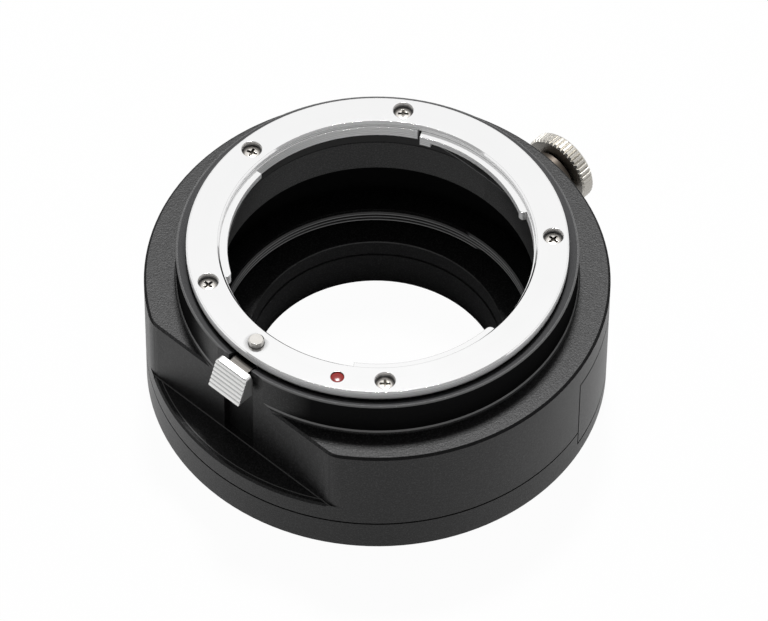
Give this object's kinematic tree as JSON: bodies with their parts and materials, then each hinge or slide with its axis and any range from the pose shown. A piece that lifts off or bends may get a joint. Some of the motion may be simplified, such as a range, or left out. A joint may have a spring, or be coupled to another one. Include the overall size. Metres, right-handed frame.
{
  "type": "lens bayonet filter drawer",
  "caption": "Round black adapter with a bayonet lens ring, spring-loaded release tab and a pull-out filter drawer locked by a knurled thumbscrew; threaded nose for a camera.",
  "frame": {"origin": "on the optical axis, at the camera seat on the underside of the base plate", "axes": "+Z along the optical axis towards the lens, +X the way the filter drawer pulls out, the release tab at -X"},
  "size_m": [0.0889, 0.08, 0.0381],
  "materials": {
    "body_black": "black anodised, bead blasted",
    "drawer_black": "black anodised, bead blasted",
    "ring_chrome": "satin chrome",
    "screw_steel": "bright steel",
    "screw_black": "blackened steel",
    "dot_red": "glossy red enamel",
    "spring_black": "blackened spring steel",
    "thumb_nickel": "nickel plated",
    "collar_dark": "dark turned steel",
    "release_silver": "satin silver",
    "pin_steel": "turned steel"
  },
  "bodies": {
    "housing": {"main_body": "body_black", "base_plate": "body_black", "base_screws": "screw_black", "backing_ring": "body_black", "bayonet_ring": "ring_chrome", "bayonet_screws": "screw_steel", "index_dot": "dot_red", "leaf_spring_1": "spring_black", "leaf_spring_2": "spring_black", "leaf_spring_3": "spring_black", "lock_spring": "screw_steel"},
    "drawer": {"filter_drawer": "drawer_black", "thumbscrew_collar": "collar_dark"},
    "lock_screw": {"thumbscrew": "thumb_nickel", "thumbscrew_clip": "screw_steel"},
    "release": {"release_arm": "release_silver", "release_tab": "release_silver", "tab_rivet": "screw_steel", "lock_pin": "pin_steel", "pin_washer": "screw_steel"}
  },
  "joints": [
    {"name": "drawer_slide", "type": "slide", "parent": "housing", "child": "drawer", "axis": [1, 0, 0], "range_m": [0, 0.078]},
    {"name": "thumbscrew_turn", "type": "hinge", "parent": "drawer", "child": "lock_screw", "pos_m": [0.04, 0, 0.0117], "axis": [1, 0, 0], "continuous": true},
    {"name": "release_slide", "type": "slide", "parent": "housing", "child": "release", "axis": [0, 0, -1], "range_m": [0, 0.0024], "stiffness_N_per_m": 400, "springref_m": -0.004, "deforming": ["lock_spring"]}
  ]
}
